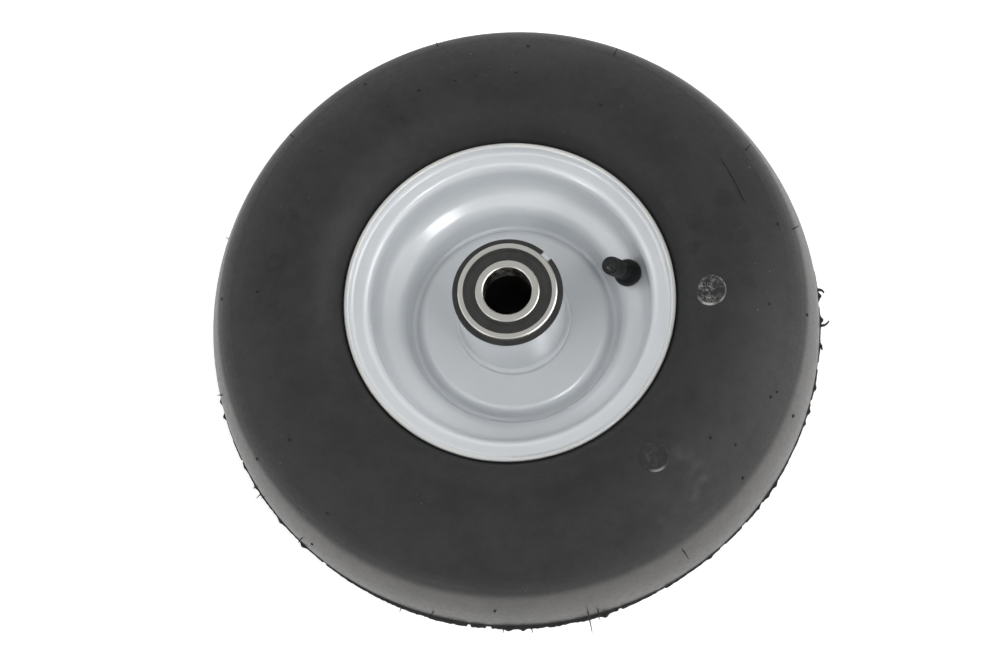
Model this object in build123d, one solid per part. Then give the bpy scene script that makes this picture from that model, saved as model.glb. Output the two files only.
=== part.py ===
from build123d import *
import os
from math import asin, atan2, cos, degrees, hypot, radians, sin, sqrt, tan

# Caster wheel of a ride-on mower: a smooth air-filled tyre on a welded rim of two pressed
# steel halves, with a hub tube that carries a sealed ball bearing at each end.
# Millimetres. Z is the axle, the origin is the wheel's centre, and the valve is on the +Z side.
# A section is drawn as (radius, height) points and turned about Z.

# Tyre
tyre_radius = 165.0
tyre_width = 127.0
crown_radius = 90.0
tread_width = 90.0
shoulder_radius = 22.0
widest_place = 0.523
tyre_wall = 6.5
bead_inner_height = 7.0
bead_slope_angle = 10.0

# Rim: pressed sheet, the sizes of the face that shows unless they say otherwise
sheet = 2.5
bead_seat_radius = 77.1
flange_width = 10.0
flange_angle = 8.5
lip_length = 5.2
lip_angle = 84.0
lip_bend = 2.5
seat_corner_height = 41.6
seat_corner_bend = 5.0
seat_width = 18.8
seat_taper_angle = 2.0
floor_angle = 22.2
floor_bend = 10.0
well_radius = 59.4
well_bend = 8.0
well_draft = 3.8
groove_width = 2.0
groove_bend = 1.2
dome_run = 3.0
dome_height = 7.4
dome_bend = 6.0
collar_height = 9.4
collar_length = 3.8
collar_bend = 0.6
edge_round = 0.9
lip_gap = 0.8
lip_undercut = 1.5
lip_contact = 2.5

# Hub and axle
hub_length_over_bearings = 124.0
hub_outer_radius = 28.6
spacer_outer_radius = 16.4
spacer_inner_radius = 13.1
tube_chamfer = 0.5

# Ball bearing with two rubber seals and a snap ring groove
bearing_bore = 25.4
bearing_outside = 52.0
bearing_width = 15.0
race_chamfer = 0.6
inner_land_radius = 16.9
outer_land_radius = 22.0
seal_seat_radius = 23.3
seal_seat_depth = 2.4
seal_recess = 0.35
seal_web = 0.9
seal_lip_width = 1.1
seal_lip_depth = 1.6
seal_running_gap = 0.2
ball_diameter = 7.938
ball_count = 9
ball_pitch_radius = 19.5
ball_clearance = 0.05
raceway_radius = 4.13
cage_wall = 2.4
cage_width = 9.4
cage_pocket_clearance = 0.12
snap_ring_thickness = 1.12
snap_ring_outer_radius = 28.95
snap_ring_gap = 5.5
snap_ring_angle = 43.6
snap_groove_radius = 24.865
snap_groove_width = 1.35
snap_ring_depth = 2.46

# Snap-in tyre valve, with heights measured along its axis from the rim's face
valve_angle = 18.7
valve_hole = 11.4
valve_base_radius = 7.0
valve_base_depth = 6.5
valve_base_edge = 1.0
valve_bulb_radius = 7.4
valve_bulb_height = 3.2
valve_bulb_sink = 0.8
valve_neck_radius = 4.6
valve_neck_high = 15.0
valve_neck_end_radius = 4.2
stem_radius = 3.85
stem_bore_radius = 2.6
stem_top = 25.6
core_length = 10.0
core_head_depth = 0.8
core_hole_radius = 1.1
pin_radius = 0.9
pin_top_depth = 0.3
pin_plate_radius = 2.2
pin_plate_thickness = 0.9
pin_seat_gap = 0.05
cap_radius = 4.8
cap_low = 15.6
cap_top = 28.5
cap_crown = 1.4
cap_clearance = 0.15
cap_edge = 1.2


# Values that follow from the sizes above
half_width = tyre_width / 2
bearing_face = hub_length_over_bearings / 2
bearing_middle = bearing_face - bearing_width / 2
bearing_inner_face = bearing_face - bearing_width
hub_end = bearing_face - snap_ring_depth - snap_ring_thickness
ball_radius = ball_diameter / 2


def turned(section):
    """Turns a section drawn in (radius, height) about Z."""
    return revolve(Plane.XZ * section, Axis.Z)


def outline(*points):
    """Closed straight-sided section."""
    return make_face(Polyline(*points, close=True))


def ring_section(inner, outer, low, high, chamfer=0.0):
    """Section of a plain ring, with its outer edges chamfered."""
    if chamfer == 0:
        return outline((inner, low), (outer, low), (outer, high), (inner, high))
    return outline(
        (inner, low),
        (outer - chamfer, low),
        (outer, low + chamfer),
        (outer, high - chamfer),
        (outer - chamfer, high),
        (inner, high),
    )


def polar(radius, angle):
    """Offset of a point at a radius, at an angle from the outward direction."""
    return radius * cos(radians(angle)), radius * sin(radians(angle))


def moved(point, step):
    return point[0] + step[0], point[1] + step[1]


def along(start, end, distance):
    """Point at a distance from the start, on the way to the end."""
    share = distance / hypot(end[0] - start[0], end[1] - start[1])
    return start[0] + share * (end[0] - start[0]), start[1] + share * (end[1] - start[1])


def heading(start, end):
    return atan2(end[1] - start[1], end[0] - start[0])


def turn_at(points, i):
    """Signed turn of a path at a corner, in radians, left turns positive."""
    change = heading(points[i], points[i + 1]) - heading(points[i - 1], points[i])
    return atan2(sin(change), cos(change))


def sheet_back(points, thickness):
    """Corners of the sheet's other face, to the left of the path of its shown face."""
    last = len(points) - 1
    back = []
    for i, point in enumerate(points):
        before = heading(points[max(i - 1, 0)], points[max(i, 1)])
        turn = turn_at(points, i) if 0 < i < last else 0.0
        reach = thickness / cos(turn / 2)
        side = before + turn / 2 + radians(90)
        back.append((point[0] + reach * cos(side), point[1] + reach * sin(side)))
    return back


def back_bends(points, bends, thickness):
    """Bend radii of the sheet's other face: a left turn is tighter there, a right turn wider."""
    return [
        bend - thickness if turn_at(points, i + 1) > 0 else bend + thickness
        for i, bend in enumerate(bends)
    ]


# Shown face of the front rim half, from the lip inwards to the collar at the hub
seat_corner = (bead_seat_radius - sheet, seat_corner_height)
flange_end = moved(seat_corner, (flange_width, flange_width * tan(radians(flange_angle))))
lip_end = moved(flange_end, polar(lip_length, lip_angle))
floor_outer = moved(seat_corner, (-seat_width * tan(radians(seat_taper_angle)), -seat_width))
floor_drop = (floor_outer[0] - well_radius) * tan(radians(floor_angle))
floor_inner = (well_radius, floor_outer[1] - floor_drop)
groove_outer = (well_radius - well_draft, sheet)
groove_inner = moved(groove_outer, (-groove_width, 0))
rim_face = [
    lip_end,
    flange_end,
    seat_corner,
    floor_outer,
    floor_inner,
    groove_outer,
    groove_inner,
    (groove_inner[0] - dome_run, dome_height),
    (hub_outer_radius + sheet, collar_height),
    (hub_outer_radius + sheet, collar_height + collar_length),
]
rim_bends = [
    lip_bend,
    seat_corner_bend,
    floor_bend,
    well_bend,
    groove_bend,
    groove_bend,
    dome_bend,
    collar_bend,
]
rim_back = sheet_back(rim_face, sheet)
rim_back_bends = back_bends(rim_face, rim_bends, sheet)
rim_edge = rim_back[0]
valve_radius = (floor_outer[0] + well_radius) / 2


def valve_frame():
    """Plane on the rim's floor with Z along the valve."""
    height = floor_inner[1] + (valve_radius - well_radius) * tan(radians(floor_angle))
    around = radians(valve_angle)
    outward = Vector(cos(around), sin(around), 0)
    across = Vector(-sin(around), cos(around), 0)
    lean = radians(floor_angle)
    axis = outward * -sin(lean) + Vector(0, 0, cos(lean))
    return Plane(origin=outward * valve_radius + Vector(0, 0, height), x_dir=across, z_dir=axis)


def make_rim_half():
    """Pressed half without its valve hole: sheet section turned about the axle."""
    face = FilletPolyline(*rim_face, radius=rim_bends)
    back = FilletPolyline(*rim_back, radius=rim_back_bends)
    lip_edge = Line(rim_face[0], rim_edge)
    collar_edge = Line(rim_face[-1], rim_back[-1])
    section = make_face(face + back + lip_edge + collar_edge)
    tips = [section.vertices().sort_by_distance(tip)[0] for tip in (rim_face[0], rim_edge, rim_face[-1])]
    return turned(fillet(tips, edge_round))


def make_tyre():
    """Hollow tyre: crown, shoulder and sidewall arcs, and beads seated on the rim's back face."""
    tread_angle = degrees(asin(tread_width / 2 / crown_radius))
    crown = (tyre_radius - crown_radius, 0.0)
    shoulder = moved(crown, polar(crown_radius - shoulder_radius, tread_angle))

    # The sidewall arc touches the shoulder arc and ends upright at the widest point
    widest = rim_edge[0] + widest_place * (shoulder[0] - rim_edge[0])
    in_reach = shoulder[0] - widest
    rise = half_width - shoulder[1]
    side_radius = (in_reach**2 + rise**2 - shoulder_radius**2) / (2 * (rise - shoulder_radius))
    side = (widest, half_width - side_radius)
    side_angle = degrees(heading(side, shoulder))

    # The lower sidewall rolls in from the widest point to just under the rim's lip
    chafer = moved(rim_edge, (lip_gap, -lip_undercut))
    fall = half_width - chafer[1]
    lower_radius = ((widest - chafer[0]) ** 2 + fall**2) / (2 * fall)
    lower = (widest, half_width - lower_radius)
    chafer_angle = degrees(heading(lower, chafer)) % 360

    def flank(inset):
        """Arcs from the crown's middle to the widest point, this far inside the outer face."""
        return [
            CenterArc(crown, crown_radius - inset, 0, tread_angle),
            CenterArc(shoulder, shoulder_radius - inset, tread_angle, side_angle - tread_angle),
            CenterArc(side, side_radius - inset, side_angle, 90 - side_angle),
        ]

    # The bead lies on the lip, flange and seat of the rim's back face, up to the seat's bend
    touch = along(rim_edge, rim_back[1], lip_contact)
    seat_bend = rim_back_bends[2] * tan(abs(turn_at(rim_back, 3)) / 2)
    toe = along(rim_back[3], rim_back[2], seat_bend)
    bead = FilletPolyline(touch, rim_back[1], rim_back[2], toe, radius=rim_back_bends[:2])
    bead_top = moved(toe, (bead_inner_height, bead_inner_height * tan(radians(bead_slope_angle))))
    liner = TangentArc((widest, half_width - tyre_wall), bead_top, tangent=(-1, 0))

    upper = flank(0) + flank(tyre_wall)
    upper += [CenterArc(lower, lower_radius, 90, chafer_angle - 90), liner]
    upper += [Line(chafer, touch), Line(toe, bead_top)]
    upper += bead.edges()
    lower_half = [edge.mirror(Plane.XZ) for edge in upper]
    return turned(make_face(Curve() + upper + lower_half))


def make_hub_tube():
    """Tube through both rim halves, bored to the bearings' outside size."""
    section = ring_section(bearing_outside / 2, hub_outer_radius, -hub_end, hub_end, tube_chamfer)
    return turned(section)


def make_spacer_tube():
    """Tube on the axle between the two inner races."""
    low, high = -bearing_inner_face, bearing_inner_face
    return turned(ring_section(spacer_inner_radius, spacer_outer_radius, low, high))


def make_outer_race():
    """Outer race with a ball track, a seat for each seal and a groove for the snap ring."""
    outer = bearing_outside / 2
    low, high = bearing_inner_face, bearing_face
    groove_top = high - snap_ring_depth
    section = outline(
        (seal_seat_radius, low),
        (outer - race_chamfer, low),
        (outer, low + race_chamfer),
        (outer, groove_top - snap_groove_width),
        (snap_groove_radius, groove_top - snap_groove_width),
        (snap_groove_radius, groove_top),
        (outer, groove_top),
        (outer, high - race_chamfer),
        (outer - race_chamfer, high),
        (seal_seat_radius, high),
        (seal_seat_radius, high - seal_seat_depth),
        (outer_land_radius, high - seal_seat_depth),
        (outer_land_radius, low + seal_seat_depth),
        (seal_seat_radius, low + seal_seat_depth),
    )
    track = ball_pitch_radius + ball_radius + ball_clearance - raceway_radius
    return turned(section - Pos(track, bearing_middle) * Circle(raceway_radius))


def make_inner_race():
    """Inner race with a ball track and chamfered edges."""
    bore = bearing_bore / 2
    low, high = bearing_inner_face, bearing_face
    section = outline(
        (bore + race_chamfer, low),
        (inner_land_radius - race_chamfer, low),
        (inner_land_radius, low + race_chamfer),
        (inner_land_radius, high - race_chamfer),
        (inner_land_radius - race_chamfer, high),
        (bore + race_chamfer, high),
        (bore, high - race_chamfer),
        (bore, low + race_chamfer),
    )
    track = ball_pitch_radius - ball_radius - ball_clearance + raceway_radius
    return turned(section - Pos(track, bearing_middle) * Circle(raceway_radius))


def make_seal():
    """Outer-side seal: a thick rim in the outer race's seat, a thin web and a lip at the inner race."""
    top = bearing_face - seal_recess
    inner = inner_land_radius + seal_running_gap
    web_top = top - (seal_lip_depth - seal_web) / 2
    section = outline(
        (inner, top),
        (inner + seal_lip_width, top),
        (inner + seal_lip_width, web_top),
        (outer_land_radius, web_top),
        (outer_land_radius, top),
        (seal_seat_radius, top),
        (seal_seat_radius, bearing_face - seal_seat_depth),
        (outer_land_radius, bearing_face - seal_seat_depth),
        (outer_land_radius, web_top - seal_web),
        (inner + seal_lip_width, web_top - seal_web),
        (inner + seal_lip_width, top - seal_lip_depth),
        (inner, top - seal_lip_depth),
    )
    return turned(section)


def ball_places():
    """Centres of the balls round the front bearing."""
    return [
        Rot(0, 0, 360 / ball_count * i) * Pos(ball_pitch_radius, 0, bearing_middle)
        for i in range(ball_count)
    ]


def make_balls():
    """The bearing's balls, as separate solids."""
    return Compound([place * Sphere(ball_radius) for place in ball_places()])


def make_cage():
    """Cage ring with a round pocket for each ball."""
    ring = turned(
        ring_section(
            ball_pitch_radius - cage_wall / 2,
            ball_pitch_radius + cage_wall / 2,
            bearing_middle - cage_width / 2,
            bearing_middle + cage_width / 2,
        )
    )
    pocket = Rot(0, 90, 0) * Cylinder(ball_radius + cage_pocket_clearance, 2 * cage_wall)
    return ring - [place * pocket for place in ball_places()]


def make_snap_ring():
    """Split ring in the outer race's groove, seated on the end of the hub tube."""
    top = hub_end + snap_ring_thickness
    ring = turned(ring_section(snap_groove_radius, snap_ring_outer_radius, hub_end, top))
    middle = (snap_groove_radius + snap_ring_outer_radius) / 2
    gap = Box(snap_ring_outer_radius, snap_ring_gap, 2 * snap_ring_thickness)
    return ring - Rot(0, 0, snap_ring_angle) * Pos(middle, 0, hub_end) * gap


def make_valve_body():
    """Rubber valve: a base inside the rim, a neck in the hole, a round bulb and a tapered stem."""
    hole = valve_hole / 2
    low = -sheet - valve_base_depth
    sink = -valve_bulb_sink
    foot_radius = sqrt(valve_bulb_radius**2 - (valve_bulb_height - sink) ** 2)
    bulb_foot = (foot_radius, sink)
    bulb_top = (valve_neck_radius, valve_bulb_height + sqrt(valve_bulb_radius**2 - valve_neck_radius**2))
    bulb = ThreePointArc(bulb_foot, (valve_bulb_radius, valve_bulb_height), bulb_top)
    rest = Polyline(
        bulb_top,
        (valve_neck_end_radius, valve_neck_high),
        (stem_radius, valve_neck_high),
        (stem_radius, low),
        (valve_base_radius - valve_base_edge, low),
        (valve_base_radius, low + valve_base_edge),
        (valve_base_radius, -sheet),
        (hole, -sheet),
        (hole, sink),
        bulb_foot,
    )
    return turned(make_face(bulb + rest))


def make_valve_stem():
    """Brass tube moulded into the rubber, open at both ends."""
    low = -sheet - valve_base_depth
    return turned(ring_section(stem_bore_radius, stem_radius, low, stem_top, tube_chamfer))


def make_valve_core():
    """Barrel screwed into the top of the stem, with a hole for the pin."""
    top = stem_top - core_head_depth
    return turned(ring_section(core_hole_radius, stem_bore_radius, top - core_length, top))


def make_valve_pin():
    """Pin that opens the core when it is pressed, with a plate that closes the barrel's end."""
    top = stem_top - pin_top_depth
    plate_high = stem_top - core_head_depth - core_length - pin_seat_gap
    plate_low = plate_high - pin_plate_thickness
    section = outline(
        (0, plate_low),
        (pin_plate_radius, plate_low),
        (pin_plate_radius, plate_high),
        (pin_radius, plate_high),
        (pin_radius, top),
        (0, top),
    )
    return turned(section)


def make_valve_cap():
    """Cap over the stem's end, closed at the top with a rounded edge."""
    bore = stem_radius + cap_clearance
    body = turned(
        outline(
            (bore, cap_low),
            (cap_radius, cap_low),
            (cap_radius, cap_top),
            (0, cap_top),
            (0, cap_top - cap_crown),
            (bore, cap_top - cap_crown),
        )
    )
    return fillet(body.edges().group_by(Axis.Z)[-1], cap_edge)


def make_wheel():
    """Every piece by name, in the wheel's frame."""
    valve = valve_frame()
    hole_depth = 4 * sheet
    rim_half = make_rim_half()
    front_rim = rim_half - valve * Cylinder(valve_hole / 2, hole_depth)
    pieces = {
        "tyre": make_tyre(),
        "rim_front_half": front_rim,
        "rim_rear_half": mirror(rim_half, Plane.XY),
        "hub_tube": make_hub_tube(),
        "spacer_tube": make_spacer_tube(),
        "valve_body": valve * make_valve_body() - front_rim,
        "valve_stem": valve * make_valve_stem(),
        "valve_core": valve * make_valve_core(),
        "valve_pin": valve * make_valve_pin(),
        "valve_cap": valve * make_valve_cap(),
    }
    seal = make_seal()
    bearing = {
        "outer_race": make_outer_race(),
        "inner_race": make_inner_race(),
        "balls": make_balls(),
        "cage": make_cage(),
        "outer_seal": seal,
        "inner_seal": Pos(0, 0, 2 * bearing_middle) * mirror(seal, Plane.XY),
        "snap_ring": make_snap_ring(),
    }
    for name, piece in bearing.items():
        pieces["front_" + name] = piece
        pieces["rear_" + name] = mirror(piece, Plane.XY)
    return pieces


os.makedirs("parts", exist_ok=True)
for node, piece in make_wheel().items():
    export_step(piece, "parts/" + node + ".step")
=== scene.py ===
import math
import random

import bmesh
import bpy
from mathutils import Matrix, Vector
from mathutils.bvhtree import BVHTree
from mathutils.noise import noise as smooth_noise


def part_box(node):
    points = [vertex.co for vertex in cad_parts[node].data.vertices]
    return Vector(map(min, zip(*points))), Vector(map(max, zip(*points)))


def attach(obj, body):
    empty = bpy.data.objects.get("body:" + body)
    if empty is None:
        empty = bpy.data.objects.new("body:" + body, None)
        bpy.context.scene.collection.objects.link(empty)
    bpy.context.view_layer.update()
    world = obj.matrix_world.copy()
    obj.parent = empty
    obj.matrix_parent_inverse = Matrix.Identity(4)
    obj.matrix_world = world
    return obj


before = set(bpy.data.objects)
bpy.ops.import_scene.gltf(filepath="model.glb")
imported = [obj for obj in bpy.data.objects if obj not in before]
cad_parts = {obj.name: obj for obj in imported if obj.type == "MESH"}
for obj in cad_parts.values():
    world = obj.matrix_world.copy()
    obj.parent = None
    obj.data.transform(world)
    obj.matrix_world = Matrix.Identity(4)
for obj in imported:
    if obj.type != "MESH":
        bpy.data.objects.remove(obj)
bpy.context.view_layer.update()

# Sizes of the wheel, in metres, as the solids have them
TYRE_RADIUS = 0.165
LIP_RADIUS = 0.0849
LIP_LOW_EDGE = 0.0466
VALVE_ANGLE = math.radians(18.7)
VALVE_LEAN = math.radians(22.2)
CAP_RADIUS = 0.0048
THREAD_CENTRE = 0.00376
BORE_RADIUS = 0.0127
FLOOR_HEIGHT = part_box("tyre")[0].z
FLOOR_RADIUS = 40.0

# Camera, fitted to the round edges in the photograph
CAMERA_DISTANCE = 1.150
CAMERA_RIGHT = Vector((0.9978, 0.0, -0.0663)).normalized()
CAMERA_BACK = Vector((0.0636, -0.2826, 0.9571)).normalized()
CAMERA_UP = CAMERA_BACK.cross(CAMERA_RIGHT)
CAMERA_EYE = CAMERA_BACK * CAMERA_DISTANCE
CAMERA_LENS = 75.7
SENSOR_WIDTH = 36.0
IMAGE_SIZE = (1000, 667)
AXIS_PIXEL = (515.1, 324.3)

# Soft light patches in the surround: azimuth, elevation, inner and outer half angle, strength
SURROUND_LEVEL = 0.02
LIGHT_PATCHES = [
    (0, 12, 8.4, 27.6, 4.0), (90, 12, 8.4, 27.6, 1.5), (135, 12, 8.4, 27.6, 1.4), (180, 12, 8.4, 27.6, 1.3),
    (225, 12, 8.4, 27.6, 1.1), (270, 12, 8.4, 27.6, 0.6), (315, 12, 8.4, 27.6, 2.8), (0, 37, 8.4, 27.6, 1.6),
    (45, 37, 8.4, 27.6, 0.9), (90, 37, 8.4, 27.6, 1.0), (180, 37, 8.4, 27.6, 1.3), (120, 62, 7.7, 25.3, 0.3),
    (180, 62, 7.7, 25.3, 0.6), (240, 62, 7.7, 25.3, 1.4), (321, 64, 4.5, 7.5, 14.0), (226, 33, 4.0, 7.0, 12.0),
]

# Moulding flash round the tyre's middle, in metres
FLASH_STEPS = 1800
FLASH_HEIGHT = 0.0008
FLASH_EXTRA = 0.0011
FLASH_ROOT = 0.0008
FLASH_THICKNESS = 0.0007
FLASH_LUMP_TURN = math.radians(0.55)
FLASH_LUMPS = [
    (606, 617, 0.0016), (523, 629, 0.0012), (509, 628, 0.0010), (775, 485, 0.0009), (768, 496, 0.0007),
    (759, 507, 0.0006), (711, 558, 0.0006), (821, 296, 0.0015), (821, 320, 0.0016), (821, 345, 0.0012),
    (302, 547, 0.0012), (281, 521, 0.0009), (225, 417, 0.0013), (221, 402, 0.0011), (256, 487, 0.0007),
    (248, 466, 0.0006), (810, 412, 0.0009), (808, 425, 0.0007), (815, 388, 0.0008),
]

# Grip ribs of the valve cap, in metres
CAP_RIBS = 32
CAP_RIB_RADIUS = 0.00026
CAP_RIB_ENDS = (0.0010, 0.0022)

# Thread of the valve stem, in metres
THREAD_PITCH = 0.0008
THREAD_TURNS = 11
THREAD_STEPS = 36
THREAD_RADIUS = 0.00016
THREAD_START = 0.0003

# Small marks on the tyre, at pixels of the photograph
VENT_NUBS = [
    (289, 440), (257, 459), (327, 514), (312, 544), (495, 611), (771, 397), (777, 392), (793, 416), (711, 438),
    (736, 445), (743, 478), (601, 104), (528, 46), (807, 315), (778, 224), (770, 304), (419, 90), (455, 80),
    (477, 76), (365, 84), (402, 118), (387, 105), (320, 150), (257, 291), (222, 299), (516, 72),
]
VENT_HAIRS = [
    [(683, 550), (688, 558)], [(604, 606), (607, 598)], [(598, 610), (599, 619)], [(531, 626), (533, 632)],
    [(614, 55), (617, 49)], [(746, 150), (750, 145)], [(793, 229), (798, 226)], [(438, 46), (436, 43)],
    [(293, 137), (290, 134)], [(588, 612), (592, 632)], [(504, 626), (503, 632)], [(402, 606), (400, 611)],
    [(302, 538), (299, 542)], [(257, 486), (254, 488)], [(261, 494), (257, 498)], [(222, 395), (218, 395)],
]
FLASH_HOOKS = [
    [(819, 325), (825, 327), (829, 321)], [(818, 290), (822, 289), (824, 293)], [(817, 343), (822, 345), (822, 350)],
    [(801, 405), (808, 407), (807, 413)], [(750, 502), (757, 507), (755, 511)],
]
HOOK_RADIUS = 0.0010
MOULD_DISCS = {
    "mould_disc_upper": (711, 290, 0.0080, 1.0, (-0.25, -1.0)),
    "mould_disc_lower": (654, 457, 0.0074, 0.12, (0.30, -0.95)),
}
DARK_SMUDGES = [
    (740, 233, 0.0085), (748, 284, 0.0060), (745, 331, 0.0095), (722, 198, 0.0065), (694, 222, 0.0060),
    (694, 247, 0.0050), (770, 343, 0.0060), (276, 264, 0.0085), (290, 220, 0.0085), (274, 312, 0.0080),
]
PALE_SMEARS = [(700, 472, 0.0085), (703, 476, 0.0035), (692, 493, 0.0070), (666, 517, 0.0060), (682, 455, 0.0080)]
# Paler patches on the right-hand sidewall: partly dust, partly painted light from the right
DUST_AND_LIGHT_PATCHES = [(752, 405, 0.048), (700, 490, 0.045), (768, 330, 0.040)]
SCRATCH_LINE = [(720, 158), (728, 168), (736, 182), (742, 195), (745, 203)]


class Graph:
    """A material's node graph round its Principled shader."""

    def __init__(self, name, **settings):
        self.material = bpy.data.materials.new(name)
        self.material.use_nodes = True
        self.nodes = self.material.node_tree.nodes
        self.links = self.material.node_tree.links
        self.shader = self.nodes["Principled BSDF"]
        for socket, value in settings.items():
            self.shader.inputs[socket.replace("_", " ")].default_value = value
        self.place = self.add("ShaderNodeTexCoord").outputs["Object"]

    def add(self, kind, **settings):
        node = self.nodes.new(kind)
        for key, value in settings.items():
            setattr(node, key, value)
        return node

    def put(self, value, socket):
        """Links an output to a socket, or sets a plain value there."""
        if isinstance(value, bpy.types.NodeSocket):
            self.links.new(value, socket)
        else:
            socket.default_value = value

    def math(self, operation, first, second=0.0, clamp=False):
        node = self.add("ShaderNodeMath", operation=operation, use_clamp=clamp)
        self.put(first, node.inputs[0])
        self.put(second, node.inputs[1])
        return node.outputs[0]

    def noise(self, scale, detail=3.0, roughness=0.55, place=None):
        node = self.add("ShaderNodeTexNoise")
        self.put(place or self.place, node.inputs["Vector"])
        node.inputs["Scale"].default_value = scale
        node.inputs["Detail"].default_value = detail
        node.inputs["Roughness"].default_value = roughness
        return node.outputs["Fac"]

    def step(self, value, low, high, to_low=0.0, to_high=1.0):
        """Smooth step of a value from low to high."""
        node = self.add("ShaderNodeMapRange", interpolation_type="SMOOTHSTEP")
        for index, number in enumerate((value, low, high, to_low, to_high)):
            self.put(number, node.inputs[index])
        return node.outputs[0]

    def mix(self, share, first, second):
        node = self.add("ShaderNodeMix", data_type="RGBA")
        self.put(share, node.inputs["Factor"])
        for value, socket in ((first, node.inputs[6]), (second, node.inputs[7])):
            self.put(value, socket)
        return node.outputs[2]

    def band(self, value, low, high, soft):
        """1 where a value lies between low and high, with soft edges."""
        rise = self.step(value, low - soft, low + soft)
        fall = self.step(value, high - soft, high + soft, 1.0, 0.0)
        return self.math("MULTIPLY", rise, fall)

    def cylinder_place(self):
        """Radius from the axle and height along it, as two values."""
        parts = self.add("ShaderNodeSeparateXYZ")
        self.put(self.place, parts.inputs[0])
        square = self.math("MULTIPLY", parts.outputs["X"], parts.outputs["X"])
        square = self.math("ADD", square, self.math("MULTIPLY", parts.outputs["Y"], parts.outputs["Y"]))
        return self.math("SQRT", square), parts.outputs["Z"]

    def distance(self, point):
        """Distance from a point of the object."""
        node = self.add("ShaderNodeVectorMath", operation="DISTANCE")
        self.put(self.place, node.inputs[0])
        node.inputs[1].default_value = point
        return node.outputs["Value"]

    def bump(self, height, strength, distance):
        node = self.add("ShaderNodeBump")
        node.inputs["Strength"].default_value = strength
        node.inputs["Distance"].default_value = distance
        self.put(height, node.inputs["Height"])
        self.put(node.outputs[0], self.shader.inputs["Normal"])

    def colour(self, value):
        self.put(value, self.shader.inputs["Base Color"])

    def rough(self, value):
        self.put(value, self.shader.inputs["Roughness"])


def grey(value, warm=0.0):
    """Linear grey, a little warm or cool."""
    return (value * (1 + warm), value, value * (1 - warm), 1.0)


def tyre_rubber():
    """Dull black rubber, mottled and smudged, with a paler tread (partly dust, partly painted sheen), paler sidewall
    patches (partly dust, partly painted light) and tiny pale specks.
    """
    g = Graph("tyre_rubber")
    radius, height = g.cylinder_place()
    mottle = g.math("ADD", g.math("MULTIPLY", g.noise(34, 4, 0.6), 0.6), g.math("MULTIPLY", g.noise(150, 3, 0.6), 0.4))
    fine = g.noise(420, 3, 0.6)
    side = g.mix(g.step(mottle, 0.35, 0.65), grey(0.0165), grey(0.0235, 0.01))
    broken = g.step(g.noise(260, 3, 0.6), 0.30, 0.62)
    streaked = g.step(g.noise(120, 2, 0.5), 0.36, 0.66)
    for across, down, reach in DARK_SMUDGES:
        near = g.step(g.distance(on_tyre((across, down))[0]), reach, reach * 0.55)
        side = g.mix(g.math("MULTIPLY", g.math("MULTIPLY", near, broken), 0.55), side, grey(0.010))
    # Paler patches: partly dust, partly painted light on the right-hand sidewall
    for across, down, reach in DUST_AND_LIGHT_PATCHES:
        near = g.step(g.distance(on_tyre((across, down))[0]), reach, reach * 0.2)
        side = g.mix(g.math("MULTIPLY", near, g.step(mottle, 0.3, 0.6, 0.25, 0.55)), side, grey(0.036))
    for across, down, reach in PALE_SMEARS:
        near = g.step(g.distance(on_tyre((across, down))[0]), reach, reach * 0.2)
        side = g.mix(g.math("MULTIPLY", g.math("MULTIPLY", near, streaked), 0.42), side, grey(0.070))
    # Paler, warmer tread: partly dust, partly painted sheen of light grazing the tread
    tread = g.mix(g.step(mottle, 0.35, 0.65), grey(0.034, 0.05), grey(0.047, 0.07))
    on_tread = g.step(g.math("ABSOLUTE", height), 0.0425, 0.0345)
    on_tread = g.math("MULTIPLY", on_tread, g.step(radius, 0.148, 0.152))
    colour = g.mix(on_tread, side, tread)
    speck = g.math("MULTIPLY", g.step(g.noise(520, 1, 0.4), 0.76, 0.80), g.step(g.noise(26, 2, 0.5), 0.5, 0.6))
    g.colour(g.mix(g.math("MULTIPLY", speck, 0.5), colour, grey(0.16)))
    polish = g.math("MULTIPLY", on_tread, 0.18)
    g.put(g.step(on_tread, 0.0, 1.0, 0.28, 0.52), g.shader.inputs["Specular IOR Level"])
    g.rough(g.math("SUBTRACT", g.step(fine, 0.2, 0.8, 0.54, 0.66), polish))
    g.bump(fine, 0.22, 0.0004)
    return g.material


def chalky_rubber(name, centre, reach, amount, lean):
    """Black rubber of a round mould insert, its edge and parts of its face scuffed pale."""
    g = Graph(name, Specular_IOR_Level=0.28, Roughness=0.7)
    away = g.distance(centre)
    patch = g.noise(210, 3, 0.6)
    swirl = g.noise(480, 4, 0.7)
    low_side = g.step(g.distance(centre + Vector((*lean, 0)) * reach), 0.75 * reach, 0.15 * reach)
    edge = g.step(away, reach * 0.88, reach * 0.96)
    edge = g.math("MULTIPLY", edge, g.step(patch, 0.45, 0.68, 0.02, 0.60))
    crescent = g.math("MULTIPLY", low_side, g.step(away, reach * 0.80, reach * 0.93))
    edge = g.math("MAXIMUM", g.math("MULTIPLY", edge, amount), g.math("MULTIPLY", crescent, 0.45 + 0.55 * amount))
    bare = g.step(g.distance(centre + Vector((-1.0, -0.1, 0)) * reach), 0.30 * reach, 0.60 * reach)
    bare = g.math("MAXIMUM", bare, low_side)
    left = g.step(g.distance(centre + Vector((-0.35, 0.05, 0)) * reach), 1.15 * reach, 0.35 * reach, 0.15, 1.0)
    face = g.math("MULTIPLY", g.band(swirl, 0.47, 0.56, 0.04), g.step(patch, 0.40, 0.60))
    face = g.math("MULTIPLY", face, left)
    worn = g.math("MAXIMUM", edge, g.math("MULTIPLY", face, 0.8 * amount))
    worn = g.math("MULTIPLY", worn, bare, clamp=True)
    g.colour(g.mix(worn, grey(0.019), grey(0.36, 0.02)))
    g.bump(patch, 0.3, 0.0003)
    return g.material


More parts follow.
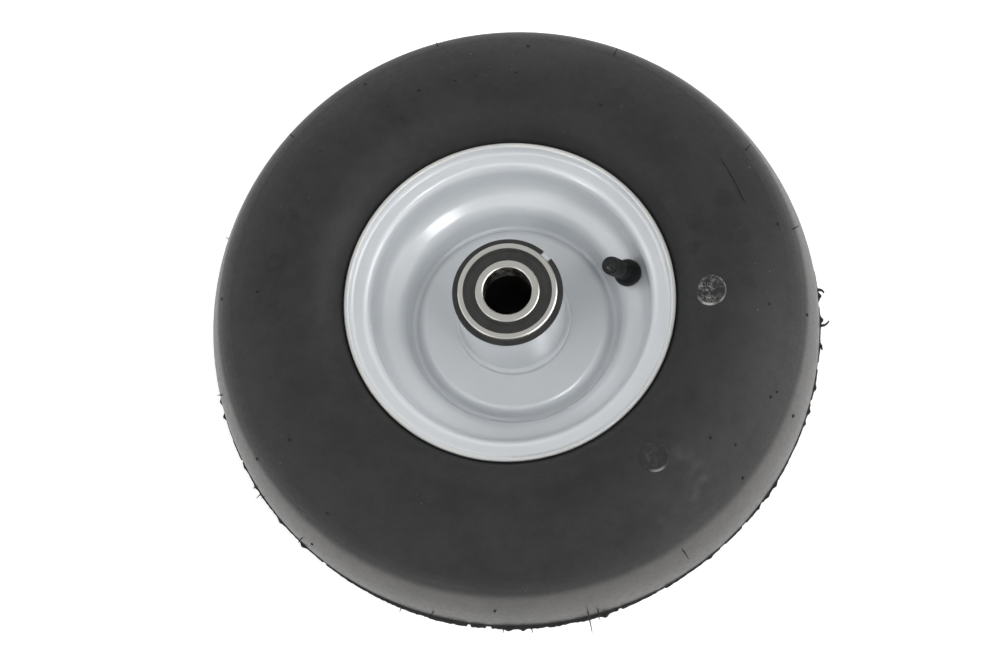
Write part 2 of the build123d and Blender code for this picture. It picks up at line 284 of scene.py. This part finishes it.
def rim_paint():
    """Glossy silver-grey paint with a faint orange peel, worn to a warmer tone on the sheared lip."""
    g = Graph("rim_paint", Metallic=0.20, Coat_Weight=1.0, Coat_Roughness=0.17)
    radius, height = g.cylinder_place()
    cloud = g.noise(22, 3, 0.5)
    peel = g.noise(900, 2, 0.5)
    paint = g.mix(g.step(cloud, 0.3, 0.7), (0.622, 0.646, 0.668, 1), (0.650, 0.675, 0.697, 1))
    high = g.step(g.math("ABSOLUTE", height), LIP_LOW_EDGE, LIP_LOW_EDGE + 0.0012)
    lip = g.math("MULTIPLY", g.step(radius, LIP_RADIUS - 0.0004, LIP_RADIUS + 0.0004), high)
    worn = g.step(g.noise(240, 4, 0.6), 0.35, 0.60, 0.15, 1.0)
    g.colour(g.mix(g.math("MULTIPLY", lip, worn), paint, (0.670, 0.672, 0.642, 1)))
    g.rough(g.step(peel, 0.2, 0.8, 0.38, 0.46))
    g.bump(peel, 0.08, 0.0003)
    return g.material


def ground_steel(name, colour, dark, roughness):
    """Turned or ground steel with fine rings about the axle, its bore darkened with painted shade."""
    g = Graph(name, Metallic=1.0)
    radius, height = g.cylinder_place()
    rings = g.add("ShaderNodeCombineXYZ")
    g.put(g.math("MULTIPLY", radius, 9000.0), rings.inputs[0])
    g.put(g.math("MULTIPLY", height, 9000.0), rings.inputs[1])
    line = g.noise(1.0, 2, 0.6, rings.outputs[0])
    cloud = g.noise(90, 3, 0.6)
    clean = g.mix(g.step(cloud, 0.25, 0.75), colour, dark)
    # Painted shade down the bore: the bore face darkened, broken up by noise
    bore_shade = g.step(radius, BORE_RADIUS + 0.0003, BORE_RADIUS + 0.0001)
    bore_shade = g.math("MULTIPLY", bore_shade, g.step(g.noise(330, 4, 0.65), 0.62, 0.44, 0.15, 0.92))
    g.colour(g.mix(bore_shade, clean, grey(0.07, 0.06)))
    g.rough(g.step(line, 0.2, 0.8, roughness - 0.06, roughness + 0.08))
    g.bump(line, 0.08, 0.0001)
    return g.material


def dark_finish(name, base, roughness, metallic, grain, warm=0.0, shine=0.35):
    """Black rubber, plastic or blackened steel with a fine grain."""
    g = Graph(name, Metallic=metallic, Specular_IOR_Level=shine)
    fine = g.noise(grain, 3, 0.6)
    cloud = g.noise(grain / 12, 3, 0.6)
    g.colour(g.mix(g.step(cloud, 0.3, 0.7), grey(base * 0.85, warm), grey(base * 1.2, warm)))
    g.rough(g.step(fine, 0.2, 0.8, roughness - 0.05, roughness + 0.07))
    g.bump(fine, 0.15, 0.0002)
    return g.material


def scuffed_cap():
    """Black plastic of the valve cap, with pale scuffs on its end."""
    g = Graph("cap_plastic", Specular_IOR_Level=0.25)
    fine = g.noise(1500, 3, 0.6)
    middle, axis, levels = cap_axis()
    end = middle + axis * max(levels)
    near = g.step(g.distance(end), CAP_RADIUS * 0.75, CAP_RADIUS * 0.25)
    scuff = g.math("MULTIPLY", near, g.step(g.noise(620, 3, 0.6), 0.54, 0.64))
    black = g.mix(g.step(fine, 0.3, 0.7), grey(0.004, -0.04), grey(0.006, -0.04))
    g.colour(g.mix(g.math("MULTIPLY", scuff, 0.8), black, grey(0.17)))
    g.rough(g.step(fine, 0.2, 0.8, 0.36, 0.48))
    g.bump(fine, 0.15, 0.0002)
    return g.material


def brass():
    g = Graph("brass", Metallic=1.0)
    stain = g.noise(420, 3, 0.6)
    g.colour(g.mix(g.step(stain, 0.35, 0.7), (0.72, 0.52, 0.25, 1), (0.50, 0.34, 0.15, 1)))
    g.rough(g.step(stain, 0.2, 0.8, 0.26, 0.42))
    g.bump(stain, 0.1, 0.0001)
    return g.material


def white_floor():
    """White floor whose open parts reach white, and which keeps the shadow."""
    g = Graph("white_floor", Roughness=0.9, Specular_IOR_Level=0.1)
    fleck = g.noise(6, 2, 0.5)
    g.colour(g.mix(fleck, grey(0.90), grey(0.93)))
    path = g.add("ShaderNodeLightPath")
    seen = g.math("ADD", path.outputs["Is Camera Ray"], path.outputs["Is Glossy Ray"])
    seen = g.math("ADD", seen, path.outputs["Is Transmission Ray"], clamp=True)
    g.shader.inputs["Emission Color"].default_value = (1, 1, 1, 1)
    g.put(g.math("MULTIPLY", seen, 0.42), g.shader.inputs["Emission Strength"])
    return g.material


def add_object(name, data):
    thing = bpy.data.objects.new(name, data)
    bpy.context.scene.collection.objects.link(thing)
    return thing


def add_piece(name, form, material, body="wheel"):
    """A finished mesh as a piece that rides on a body of the wheel."""
    bmesh.ops.recalc_face_normals(form, faces=form.faces)
    mesh = bpy.data.meshes.new(name)
    form.to_mesh(mesh)
    form.free()
    mesh.materials.append(material)
    mesh.shade_smooth()
    mesh.set_sharp_from_angle(angle=math.radians(40))
    piece = add_object(name, mesh)
    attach(piece, body)
    return piece


def pixel_ray(pixel):
    """Direction from the camera's eye through a pixel of the photograph."""
    focal = CAMERA_LENS / SENSOR_WIDTH * IMAGE_SIZE[0]
    across = (pixel[0] - AXIS_PIXEL[0]) / focal
    up = (AXIS_PIXEL[1] - pixel[1]) / focal
    return (CAMERA_RIGHT * across + CAMERA_UP * up - CAMERA_BACK).normalized()


def on_tyre(pixel):
    """Place and outward normal on the tyre at a pixel, or at the nearest place to its ray."""
    ray = pixel_ray(pixel)
    place, normal, _, _ = tyre_surface.ray_cast(CAMERA_EYE, ray)
    if place is None:
        place, normal, _, _ = tyre_surface.find_nearest(CAMERA_EYE + ray * CAMERA_DISTANCE)
    return place, normal


def facing_point(pixel, depth_of):
    """Point of a pixel's ray that is as far from the camera as another point."""
    ray = pixel_ray(pixel)
    depth = (CAMERA_EYE - depth_of).dot(CAMERA_BACK)
    return CAMERA_EYE + ray * (depth / -ray.dot(CAMERA_BACK))


def middle_plane_point(pixel):
    """Point of a pixel's ray in the plane of the tyre's middle."""
    ray = pixel_ray(pixel)
    return CAMERA_EYE - ray * (CAMERA_EYE.z / ray.z)


def add_tube(form, points, radii, sides=7):
    """A closed tapering tube through points."""
    rings = []
    for index, point in enumerate(points):
        before = points[max(index - 1, 0)]
        after = points[min(index + 1, len(points) - 1)]
        along = (after - before).normalized()
        side = along.cross(CAMERA_BACK if abs(along.dot(CAMERA_BACK)) < 0.9 else CAMERA_RIGHT).normalized()
        lift = along.cross(side)
        ring = []
        for turn in range(sides):
            angle = 2 * math.pi * turn / sides
            ring.append(form.verts.new(point + (side * math.cos(angle) + lift * math.sin(angle)) * radii[index]))
        rings.append(ring)
    for first, second in zip(rings, rings[1:]):
        for turn in range(sides):
            after = (turn + 1) % sides
            form.faces.new((first[turn], first[after], second[after], second[turn]))
    form.faces.new(rings[0][::-1])
    form.faces.new(rings[-1])


def bend_points(corners, steps=8):
    """Points on a smooth curve from the first corner to the last, drawn towards those between."""
    points = []
    for step in range(steps + 1):
        share = step / steps
        level = [Vector(corner) for corner in corners]
        while len(level) > 1:
            level = [first.lerp(second, share) for first, second in zip(level, level[1:])]
        points.append(level[0])
    return points


def add_hair(form, root, normal, tip, thickness):
    """A curved vent hair from inside the rubber to its thin tip."""
    middle = root.lerp(tip, 0.45) + normal * (tip - root).length * 0.25
    points = bend_points([root - normal * 0.0006, middle, tip])
    radii = [thickness * (1 - 0.7 * index / (len(points) - 1)) for index in range(len(points))]
    add_tube(form, points, radii)


def add_nub(form, place, normal, radius, height):
    """A cut vent stub: a low rounded button with its foot in the rubber."""
    points = [place + normal * height * level for level in (-0.8, 0.0, 0.55, 0.9, 1.0)]
    add_tube(form, points, [radius * share for share in (1.15, 1.05, 0.9, 0.65, 0.3)], 10)


def flash_height(angle, lumps):
    """Height of the torn flash at an angle round the tyre: most at the bottom of the picture."""
    where = Vector((math.cos(angle), math.sin(angle), 0.0))
    slow = smooth_noise(where * 3.1 + Vector((0, 0, 2)))
    middle = smooth_noise(where * 19.0 + Vector((0, 0, 7)))
    quick = smooth_noise(where * 90.0 + Vector((0, 0, 11)))
    tear = smooth_noise(where * 30.0 + Vector((0, 0, 15)))
    height = FLASH_HEIGHT + FLASH_EXTRA * max(-where.y - 0.80, 0.0) / 0.20
    height *= 1.0 + 0.30 * slow + 0.30 * middle + 0.22 * quick
    if tear > 0.40:
        height *= 0.4
    for place, extra in lumps:
        turn = math.remainder(angle - place, 2 * math.pi) / FLASH_LUMP_TURN
        height += extra * math.exp(-turn * turn)
    return max(height, 0.0002)


def make_flash(material):
    """The thin ragged fin where the mould's halves met, round the tyre's middle."""
    form = bmesh.new()
    rings = []
    lumps = []
    for across, down, extra in FLASH_LUMPS:
        place = middle_plane_point((across, down))
        lumps.append((math.atan2(place.y, place.x), extra))
    for step in range(FLASH_STEPS):
        angle = 2 * math.pi * step / FLASH_STEPS
        way = Vector((math.cos(angle), math.sin(angle), 0))
        height = flash_height(angle, lumps)
        wave = 0.0005 * smooth_noise(way * 24.0 + Vector((0, 0, 31)))
        section = []
        for reach, half, share in ((-FLASH_ROOT, 0.8, 0.0), (height * 0.5, 0.45, 0.5), (height, 0.22, 1.0)):
            section.append((TYRE_RADIUS + reach, wave * share + FLASH_THICKNESS * half))
        for reach, half, share in ((height, 0.22, 1.0), (height * 0.5, 0.45, 0.5), (-FLASH_ROOT, 0.8, 0.0)):
            section.append((TYRE_RADIUS + reach, wave * share - FLASH_THICKNESS * half))
        rings.append([form.verts.new(way * radius + Vector((0, 0, level))) for radius, level in section])
    for first, second in zip(rings, rings[1:] + rings[:1]):
        for index in range(len(first)):
            after = (index + 1) % len(first)
            form.faces.new((first[index], second[index], second[after], first[after]))
    add_piece("mould_flash", form, material)


def make_hairs(material):
    """Vent hairs and torn hooks of flash where the photograph has them, and more on the hidden side."""
    form = bmesh.new()
    for root_pixel, tip_pixel in VENT_HAIRS:
        root, normal = on_tyre(root_pixel)
        add_hair(form, root, normal, facing_point(tip_pixel, root) + normal * 0.0006, 0.00045)
    for pixels in FLASH_HOOKS:
        points = bend_points([middle_plane_point(pixel) for pixel in pixels])
        points[0] = points[0] * ((TYRE_RADIUS - FLASH_ROOT) / points[0].length)
        add_tube(form, points, [HOOK_RADIUS * (1 - 0.6 * index / (len(points) - 1)) for index in range(len(points))])
    draw = random.Random(11)
    for _ in range(26):
        angle = draw.uniform(0, 2 * math.pi)
        level = draw.choice((-0.052, -0.038, -0.024, 0.012))
        out = Vector((math.cos(angle), math.sin(angle), 0)) * 0.2 + Vector((0, 0, level * 1.3))
        root, normal, _, _ = tyre_surface.find_nearest(out)
        lean = Vector((draw.uniform(-1, 1), draw.uniform(-1, 1), draw.uniform(-1, 1)))
        tip = root + (normal + lean * 0.7).normalized() * draw.uniform(0.002, 0.0042)
        add_hair(form, root, normal, tip, 0.0004)
    add_piece("vent_hairs", form, material)


def make_nubs(material):
    """Cut vent stubs on the sidewalls and the tread."""
    form = bmesh.new()
    draw = random.Random(23)
    for pixel in VENT_NUBS:
        place, normal = on_tyre(pixel)
        add_nub(form, place, normal, draw.uniform(0.0007, 0.0010), draw.uniform(0.0006, 0.0011))
    for _ in range(34):
        angle = draw.uniform(0, 2 * math.pi)
        out = Vector((math.cos(angle), math.sin(angle), 0)) * draw.uniform(0.115, 0.17) + Vector((0, 0, -0.075))
        place, normal, _, _ = tyre_surface.find_nearest(out)
        add_nub(form, place, normal, draw.uniform(0.0007, 0.0010), draw.uniform(0.0006, 0.0011))
    add_piece("vent_nubs", form, material)


def make_mould_discs():
    """Round mould inserts in the sidewall: a low face with a raised edge, scuffed pale."""
    profile = [(1.06, -0.0004), (1.02, 0.00015), (0.97, 0.00030), (0.92, 0.00026), (0.87, 0.00008), (0.6, 0.00006), (0.3, 0.00006)]
    for name, (across, down, reach, amount, lean) in MOULD_DISCS.items():
        centre, normal = on_tyre((across, down))
        side = normal.cross(Vector((1, 0, 0))).normalized()
        other = normal.cross(side)
        form = bmesh.new()
        rings = []
        for share, lift in profile:
            ring = []
            for step in range(72):
                angle = 2 * math.pi * step / 72
                spot = centre + (side * math.cos(angle) + other * math.sin(angle)) * reach * share
                place, up, _, _ = tyre_surface.find_nearest(spot)
                ring.append(form.verts.new(place + up * lift))
            rings.append(ring)
        for first, second in zip(rings, rings[1:]):
            for step in range(72):
                after = (step + 1) % 72
                form.faces.new((first[step], first[after], second[after], second[step]))
        top = form.verts.new(centre + normal * 0.00006)
        foot = form.verts.new(centre - normal * 0.0012)
        for step in range(72):
            after = (step + 1) % 72
            form.faces.new((rings[-1][step], rings[-1][after], top))
            form.faces.new((rings[0][after], rings[0][step], foot))
        add_piece(name, form, chalky_rubber(name, centre, reach, amount, lean))


def cap_axis():
    """Middle of the valve cap, its axis, and its points' heights along it from the middle."""
    verts = [vert.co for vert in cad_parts["valve_cap"].data.vertices]
    middle = sum(verts, Vector()) / len(verts)
    out = Vector((math.cos(VALVE_ANGLE), math.sin(VALVE_ANGLE), 0))
    axis = Vector((0, 0, math.cos(VALVE_LEAN))) - out * math.sin(VALVE_LEAN)
    return middle, axis, [(vert - middle).dot(axis) for vert in verts]


def make_cap_ribs(material):
    """Fine grip ribs round the valve cap's side."""
    middle, axis, levels = cap_axis()
    side = axis.cross(Vector((0, 0, 1))).normalized()
    other = axis.cross(side)
    low, high = min(levels) + CAP_RIB_ENDS[0], max(levels) - CAP_RIB_ENDS[1]
    form = bmesh.new()
    for rib in range(CAP_RIBS):
        angle = 2 * math.pi * rib / CAP_RIBS
        foot = middle + (side * math.cos(angle) + other * math.sin(angle)) * CAP_RADIUS
        points = [foot + axis * (low + (high - low) * share) for share in (0.0, 0.06, 0.5, 0.94, 1.0)]
        add_tube(form, points, [CAP_RIB_RADIUS * share for share in (0.3, 1.0, 1.0, 1.0, 0.3)], 8)
    add_piece("cap_ribs", form, material, "cap")


def make_stem_thread(material):
    """The fine thread on the valve stem that the cap screws on."""
    middle, axis, levels = cap_axis()
    side = axis.cross(Vector((0, 0, 1))).normalized()
    other = axis.cross(side)
    low = min(levels) + THREAD_START
    points = []
    for step in range(THREAD_TURNS * THREAD_STEPS + 1):
        angle = 2 * math.pi * step / THREAD_STEPS
        level = low + THREAD_PITCH * step / THREAD_STEPS
        points.append(middle + axis * level + (side * math.cos(angle) + other * math.sin(angle)) * THREAD_CENTRE)
    form = bmesh.new()
    last = len(points) - 1
    radii = [THREAD_RADIUS * min(1.0, 0.2 + index / THREAD_STEPS, 0.2 + (last - index) / THREAD_STEPS) for index in range(last + 1)]
    add_tube(form, points, radii, 6)
    add_piece("stem_thread", form, material, "wheel")


def make_scratch(material):
    """A thin raised line that lies along the sidewall."""
    form = bmesh.new()
    points = bend_points([on_tyre(pixel)[0] for pixel in SCRATCH_LINE], 24)
    seated = []
    for point in points:
        place, normal, _, _ = tyre_surface.find_nearest(point)
        seated.append(place + normal * 0.0001)
    last = len(seated) - 1
    add_tube(form, seated, [0.0002 + 0.0003 * math.sin(math.pi * index / last) for index in range(last + 1)])
    add_piece("mould_line", form, material)


def dress_solids(cap_plastic, stem_brass):
    """Gives each solid its finish, with smooth shading across its round faces."""
    paint = rim_paint()
    finishes = {
        "tyre": tyre_rubber(),
        "rim": paint,
        "hub_tube": paint,
        # The spacer is made nearly black and unreflecting: painted shade deep in the hub's bore
        "spacer_tube": dark_finish("spacer_painted_shade", 0.008, 0.85, 0.0, 900, 0.08, 0.08),
        "race": ground_steel("race_steel", (0.80, 0.79, 0.745, 1), (0.74, 0.73, 0.69, 1), 0.36),
        "balls": ground_steel("ball_steel", (0.80, 0.80, 0.80, 1), (0.74, 0.74, 0.74, 1), 0.16),
        "cage": dark_finish("cage_steel", 0.30, 0.4, 0.9, 900),
        "seal": dark_finish("seal_rubber", 0.026, 0.42, 0.0, 1600, 0.03),
        "snap_ring": dark_finish("black_steel", 0.035, 0.38, 0.3, 1400),
        "valve_body": dark_finish("valve_rubber", 0.004, 0.50, 0.0, 1500, -0.06, 0.22),
        "valve_cap": cap_plastic,
        "valve": stem_brass,
    }
    for node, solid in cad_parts.items():
        finish = next(finishes[key] for key in finishes if key in node)
        solid.data.materials.clear()
        solid.data.materials.append(finish)
        solid.data.shade_smooth()
        solid.data.set_sharp_from_angle(angle=math.radians(32))


def place_camera():
    """Camera at the photograph's place, with the wheel's centre where it is in the picture."""
    data = bpy.data.cameras.new("camera")
    camera = add_object("camera", data)
    turn = Matrix((CAMERA_RIGHT, CAMERA_UP, CAMERA_BACK)).transposed()
    camera.matrix_world = Matrix.Translation(CAMERA_EYE) @ turn.to_4x4()
    data.sensor_width = SENSOR_WIDTH
    data.lens = CAMERA_LENS
    data.shift_x = 0.5 - AXIS_PIXEL[0] / IMAGE_SIZE[0]
    data.shift_y = (AXIS_PIXEL[1] - IMAGE_SIZE[1] / 2) / IMAGE_SIZE[0]
    data.clip_start = 0.05
    data.clip_end = 100.0
    bpy.context.scene.camera = camera


def light_scene():
    """Soft light patches, set in the surround round the wheel."""
    world = bpy.data.worlds.new("surround")
    world.use_nodes = True
    nodes = world.node_tree.nodes
    links = world.node_tree.links
    way = nodes.new("ShaderNodeTexCoord").outputs["Generated"]
    total = None
    for azimuth, elevation, inner, outer, strength in LIGHT_PATCHES:
        around, above = math.radians(azimuth), math.radians(elevation)
        near = nodes.new("ShaderNodeVectorMath")
        near.operation = "DOT_PRODUCT"
        links.new(way, near.inputs[0])
        level = math.cos(above)
        near.inputs[1].default_value = (math.cos(around) * level, math.sin(around) * level, math.sin(above))
        patch = nodes.new("ShaderNodeMapRange")
        patch.interpolation_type = "SMOOTHSTEP"
        links.new(near.outputs["Value"], patch.inputs["Value"])
        patch.inputs["From Min"].default_value = math.cos(math.radians(outer))
        patch.inputs["From Max"].default_value = math.cos(math.radians(inner))
        patch.inputs["To Max"].default_value = strength
        added = nodes.new("ShaderNodeMath")
        links.new(patch.outputs[0], added.inputs[0])
        if total is None:
            added.inputs[1].default_value = SURROUND_LEVEL
        else:
            links.new(total, added.inputs[1])
        total = added.outputs[0]
    path = nodes.new("ShaderNodeLightPath")
    seen = nodes.new("ShaderNodeMix")
    links.new(path.outputs["Is Camera Ray"], seen.inputs["Factor"])
    links.new(total, seen.inputs["A"])
    seen.inputs["B"].default_value = 1.0
    links.new(seen.outputs["Result"], nodes["Background"].inputs["Strength"])
    nodes["Background"].inputs["Color"].default_value = (1, 1, 1, 1)
    bpy.context.scene.world = world


def lay_floor():
    mesh = bpy.data.meshes.new("floor")
    form = bmesh.new()
    bmesh.ops.create_circle(form, cap_ends=True, segments=96, radius=FLOOR_RADIUS)
    form.to_mesh(mesh)
    form.free()
    floor = add_object("floor", mesh)
    floor.location.z = FLOOR_HEIGHT
    mesh.materials.append(white_floor())


tyre_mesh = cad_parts["tyre"].data
tyre_surface = BVHTree.FromPolygons(
    [vert.co.copy() for vert in tyre_mesh.vertices], [list(face.vertices) for face in tyre_mesh.polygons]
)
cap_plastic = scuffed_cap()
stem_brass = brass()
dress_solids(cap_plastic, stem_brass)
fresh_rubber = dark_finish("fresh_rubber", 0.010, 0.6, 0.0, 1200)
make_flash(fresh_rubber)
make_hairs(fresh_rubber)
make_nubs(fresh_rubber)
make_mould_discs()
make_scratch(fresh_rubber)
make_cap_ribs(cap_plastic)
make_stem_thread(stem_brass)
place_camera()
light_scene()
lay_floor()
bpy.context.scene.view_settings.view_transform = "Standard"

bpy.context.view_layer.update()
